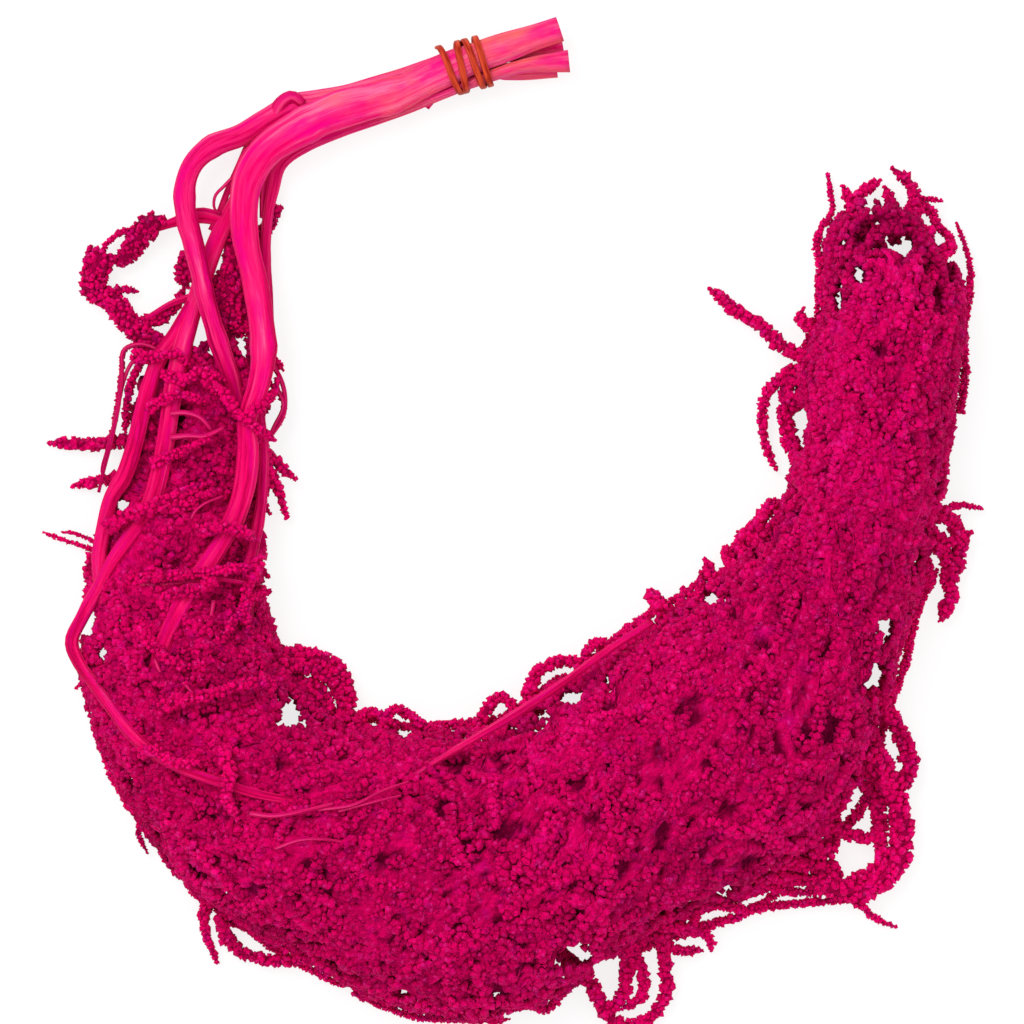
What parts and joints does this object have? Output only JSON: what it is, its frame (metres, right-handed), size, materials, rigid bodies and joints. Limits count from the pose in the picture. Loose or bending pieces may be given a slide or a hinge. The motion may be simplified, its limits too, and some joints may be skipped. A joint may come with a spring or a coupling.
{
  "type": "preserved amaranth bunch",
  "caption": "Cut and dyed bunch of hanging amaranth, tied at the stems with an elastic band, lying in a wide hook with its beaded tassels massed along the bend.",
  "frame": {"origin": "on the surface that the bunch lies on, under the middle of the whole bunch's box", "axes": "+Z up, square to the surface; seen from above, +X to the right and +Y up, with the cut ends at the upper left of the middle and the open side of the hook towards +Y"},
  "size_m": [0.3774, 0.4063, 0.0526],
  "materials": {
    "stem_pink": "dyed hot pink, dull, ribbed lengthwise",
    "stem_rose": "dyed deep rose, dull, ribbed lengthwise",
    "tassels": "dyed crimson, matt, fine beaded florets",
    "band": "orange-brown elastic, satin"
  },
  "bodies": {
    "root": {"tie_band": "band", "stem_front": "stem_pink", "stem_looped": "stem_rose", "stem_long": "stem_pink", "stem_inner": "stem_rose", "spray_shoulder": "tassels", "spray_left": "tassels", "spray_corner_outer": "tassels", "spray_corner_inner": "tassels", "spray_belly_outer_1": "tassels", "spray_belly_middle_1": "tassels", "spray_belly_inner_1": "tassels", "spray_belly_outer_2": "tassels", "spray_belly_middle_2": "tassels", "spray_belly_inner_2": "tassels", "spray_belly_outer_3": "tassels", "spray_belly_middle_3": "tassels", "spray_belly_inner_3": "tassels", "spray_tail_outer_1": "tassels", "spray_tail_inner_1": "tassels", "spray_tail_outer_2": "tassels", "spray_tail_inner_2": "tassels", "spray_loop": "tassels", "spray_back": "tassels"}
  },
  "joints": []
}
